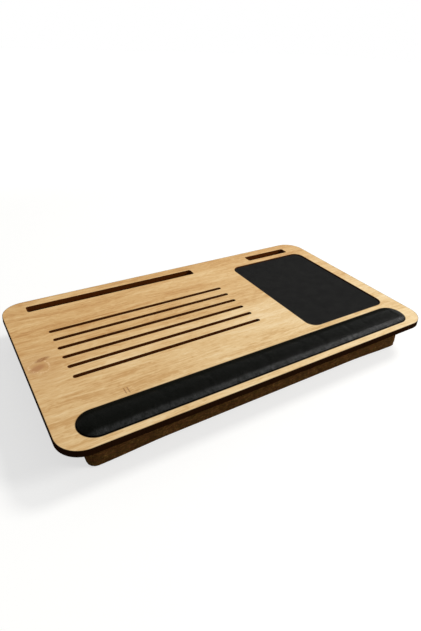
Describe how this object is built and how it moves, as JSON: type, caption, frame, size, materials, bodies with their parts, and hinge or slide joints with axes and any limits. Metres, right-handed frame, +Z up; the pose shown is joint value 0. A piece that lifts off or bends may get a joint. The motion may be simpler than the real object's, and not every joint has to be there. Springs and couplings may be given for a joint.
{
  "type": "cushioned lap desk",
  "caption": "Flat round-cornered wooden board on a foam cushion, with a sunk mouse pad, a padded wrist rest, holding slots for a tablet and a phone, and ventilation slots.",
  "frame": {"origin": "on the floor, under the middle of the board", "axes": "+X along the board to the right, the side of the mouse pad; +Y to the back, the side of the holding slots; +Z up"},
  "size_m": [0.6, 0.348, 0.0615],
  "materials": {
    "oak_faced_board": "satin",
    "plain_board": "matte",
    "pad_rubber": "matte",
    "pad_cloth": "matte",
    "backing_board": "matte",
    "foam": "matte",
    "leatherette": "satin",
    "cushion_cloth": "matte",
    "zip_tape": "matte",
    "zip_coil": "satin",
    "zip_metal": "satin",
    "hook_tape": "matte",
    "loop_tape": "matte"
  },
  "bodies": {
    "lap_desk": {"top_panel": "oak_faced_board", "base_panel": "plain_board", "mouse_pad_base": "pad_rubber", "mouse_pad_cloth": "pad_cloth", "wrist_rest_board": "backing_board", "wrist_rest_foam": "foam", "wrist_rest_cover": "leatherette", "cushion_foam": "foam", "cushion_top_cloth": "cushion_cloth", "cushion_side_band": "cushion_cloth", "cushion_base_cloth": "cushion_cloth", "zip_strip_upper": "cushion_cloth", "zip_strip_lower": "cushion_cloth", "zip_tapes": "zip_tape", "zip_teeth": "zip_coil", "zip_end_stops": "zip_metal", "hook_strips": "hook_tape", "loop_strips": "loop_tape"},
    "zip_slider": {"zip_slider": "zip_metal"},
    "zip_pull": {"zip_pull": "zip_metal"}
  },
  "joints": [
    {"name": "zip_slide", "type": "slide", "parent": "lap_desk", "child": "zip_slider", "axis": [-1, 0, 0], "range_m": [0, 0.2888]},
    {"name": "pull_swing", "type": "hinge", "parent": "zip_slider", "child": "zip_pull", "pos_m": [0.1444, 0.165, 0.023], "axis": [0, 0, -1], "range_deg": [0, 180]}
  ]
}
